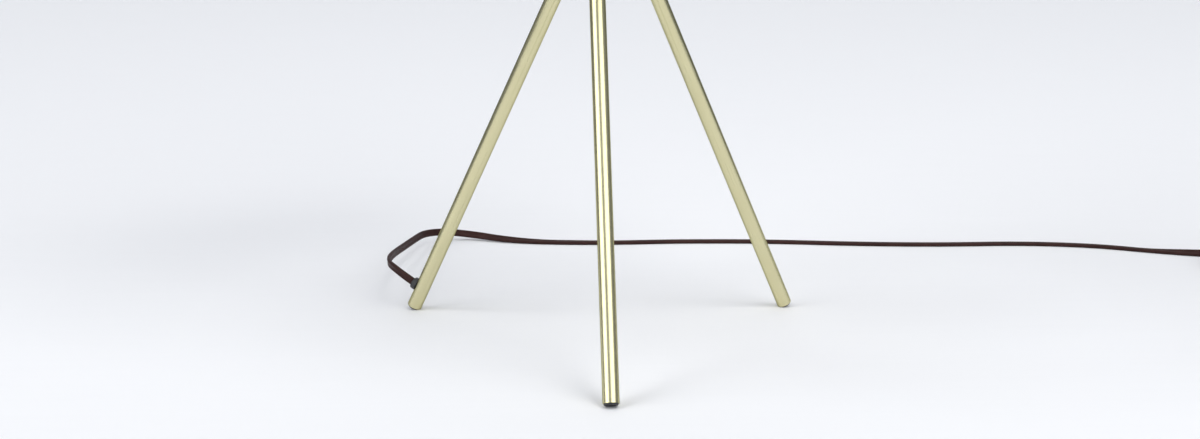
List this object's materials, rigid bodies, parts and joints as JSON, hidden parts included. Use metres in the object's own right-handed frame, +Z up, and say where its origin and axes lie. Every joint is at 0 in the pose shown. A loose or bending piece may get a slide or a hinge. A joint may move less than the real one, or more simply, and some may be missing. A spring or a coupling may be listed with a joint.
{
  "type": "tripod table lamp",
  "caption": "Table lamp on crossing tubular brass legs, with a tapered drum shade on a harp, a screw-in bulb, a turn-knob switch and a flat two-wire cord with its plug.",
  "frame": {"origin": "on the table, on the lamp's upright axis", "axes": "+Z up; the front leg stands towards -Y; the cord leaves the leg at the left (-X) and back (+Y)"},
  "size_m": [0.9143, 0.5667, 0.7053],
  "materials": {
    "brass": "satin brushed, clear lacquered",
    "polished_brass": "polished",
    "steel": "zinc plated",
    "white_enamel": "stoved enamel",
    "black_plastic": "moulded, fine matt",
    "black_resin": "pressed resin",
    "linen": "plain linen weave on a stiff backing",
    "liner_board": "stiff insulating board",
    "aluminium": "bright pressed",
    "opal_glass": "opal, satin",
    "insulator_glass": "black, glassy",
    "brown_cord": "soft vinyl",
    "brown_plug": "moulded vinyl"
  },
  "bodies": {
    "stand": {"leg_front": "brass", "leg_left": "brass", "leg_right": "brass", "leg_plugs": "black_plastic", "crossing_hub": "brass", "hub_screws": "steel", "top_housing": "brass", "housing_screws": "steel", "housing_lid": "brass", "lid_screws": "polished_brass", "threaded_pipe": "steel", "lower_nut": "steel", "upper_nut": "polished_brass", "harp_saddle": "polished_brass", "socket_cap": "polished_brass", "socket_shell": "polished_brass", "socket_liner": "liner_board", "socket_block": "black_resin", "terminal_screws": "steel", "screw_shell": "aluminium", "centre_contact": "polished_brass", "cord_bushing": "black_plastic", "inner_cord": "brown_cord", "socket_wires": "brown_cord", "cord_run": "brown_cord", "cord_coil": "brown_cord", "cord_tail": "brown_cord", "plug_body": "brown_plug", "plug_blades": "polished_brass"},
    "harp": {"harp": "polished_brass"},
    "sleeve_left": {"harp_sleeve_left": "polished_brass"},
    "sleeve_right": {"harp_sleeve_right": "polished_brass"},
    "shade": {"shade_swivel": "polished_brass", "shade_cover": "linen", "shade_bottom_ring": "white_enamel", "shade_fitter": "white_enamel"},
    "finial_lift": {"finial_collar": "polished_brass"},
    "finial": {"finial_ball": "polished_brass"},
    "knob": {"switch_knob": "black_resin"},
    "bulb_lift": {"bulb_contact": "aluminium"},
    "bulb": {"bulb_insulator": "insulator_glass", "bulb_base": "aluminium", "bulb_glass": "opal_glass"}
  },
  "joints": [
    {"name": "knob_turn", "type": "hinge", "parent": "stand", "child": "knob", "pos_m": [0, -0.02, 0.508], "axis": [0, -1, 0], "continuous": true},
    {"name": "bulb_rise", "type": "slide", "parent": "stand", "child": "bulb_lift", "axis": [0, 0, 1], "range_m": [0, 0.02179]},
    {"name": "bulb_unscrew", "type": "hinge", "parent": "bulb_lift", "child": "bulb", "pos_m": [0, 0, 0.56], "axis": [0, 0, 1], "range_deg": [0, 2160]},
    {"name": "harp_lift", "type": "slide", "parent": "stand", "child": "harp", "axis": [0, 0, 1], "range_m": [0, 0.03]},
    {"name": "sleeve_left_raise", "type": "slide", "parent": "harp", "child": "sleeve_left", "axis": [0, 0, 1], "range_m": [0, 0.014]},
    {"name": "sleeve_right_raise", "type": "slide", "parent": "harp", "child": "sleeve_right", "axis": [0, 0, 1], "range_m": [0, 0.014]},
    {"name": "shade_turn", "type": "hinge", "parent": "harp", "child": "shade", "pos_m": [0, 0, 0.6731], "axis": [0, 0, 1], "continuous": true},
    {"name": "finial_rise", "type": "slide", "parent": "shade", "child": "finial_lift", "axis": [0, 0, 1], "range_m": [0, 0.01131]},
    {"name": "finial_unscrew", "type": "hinge", "parent": "finial_lift", "child": "finial", "pos_m": [0, 0, 0.69], "axis": [0, 0, 1], "range_deg": [0, 4320]}
  ],
  "couplings": [
    {"joint": "bulb_rise", "follows": "bulb_unscrew", "m_per_rad": 0.0005775},
    {"joint": "finial_rise", "follows": "finial_unscrew", "m_per_rad": 0.00014972}
  ]
}
